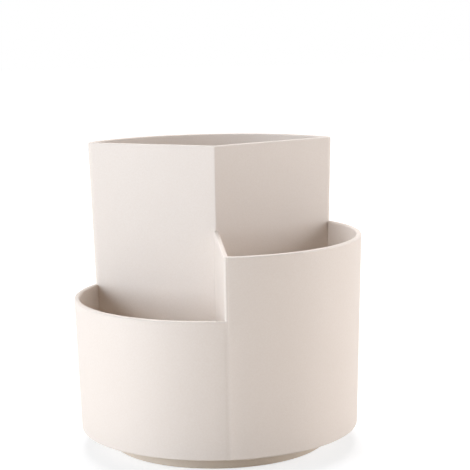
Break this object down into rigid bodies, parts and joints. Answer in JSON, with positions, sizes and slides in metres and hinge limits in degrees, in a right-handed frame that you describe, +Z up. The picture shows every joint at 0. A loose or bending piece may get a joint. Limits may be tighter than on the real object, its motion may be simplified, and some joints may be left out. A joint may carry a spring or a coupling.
{
  "type": "revolving desk caddy",
  "caption": "Round tapered desk caddy with open compartments of stepped heights, turning freely on a recessed ball-bearing foot, for pencils and small hobby tools.",
  "frame": {"origin": "on the turning axis, in the plane of the surface that the caddy stands on", "axes": "+Z up along the turning axis; the divider between the two lower compartments faces -Y at rest"},
  "size_m": [0.1237, 0.1255, 0.1286],
  "materials": {
    "cream_abs": "fine matte moulded",
    "white_acetal": "satin moulded",
    "zinc_steel": "zinc plated",
    "ball_steel": "polished",
    "foot_rubber": "matte"
  },
  "bodies": {
    "base": {"base_shell": "cream_abs", "foot_pad_1": "foot_rubber", "foot_pad_2": "foot_rubber", "foot_pad_3": "foot_rubber", "foot_pad_4": "foot_rubber"},
    "ball_ring": {"ball_cage": "white_acetal", "bearing_ball_01": "ball_steel", "bearing_ball_02": "ball_steel", "bearing_ball_03": "ball_steel", "bearing_ball_04": "ball_steel", "bearing_ball_05": "ball_steel", "bearing_ball_06": "ball_steel", "bearing_ball_07": "ball_steel", "bearing_ball_08": "ball_steel", "bearing_ball_09": "ball_steel", "bearing_ball_10": "ball_steel", "bearing_ball_11": "ball_steel", "bearing_ball_12": "ball_steel", "bearing_ball_13": "ball_steel", "bearing_ball_14": "ball_steel"},
    "holder": {"holder_body": "cream_abs", "swivel_plate": "white_acetal", "plate_screws": "zinc_steel", "pivot_washer": "zinc_steel", "pivot_screw": "zinc_steel"}
  },
  "joints": [
    {"name": "holder_spin", "type": "hinge", "parent": "base", "child": "holder", "pos_m": [0, 0, 0.008], "axis": [0, 0, 1], "continuous": true},
    {"name": "ball_ring_spin", "type": "hinge", "parent": "base", "child": "ball_ring", "pos_m": [0, 0, 0.012], "axis": [0, 0, 1], "continuous": true}
  ],
  "couplings": [
    {"joint": "ball_ring_spin", "follows": "holder_spin", "ratio": 0.5}
  ]
}
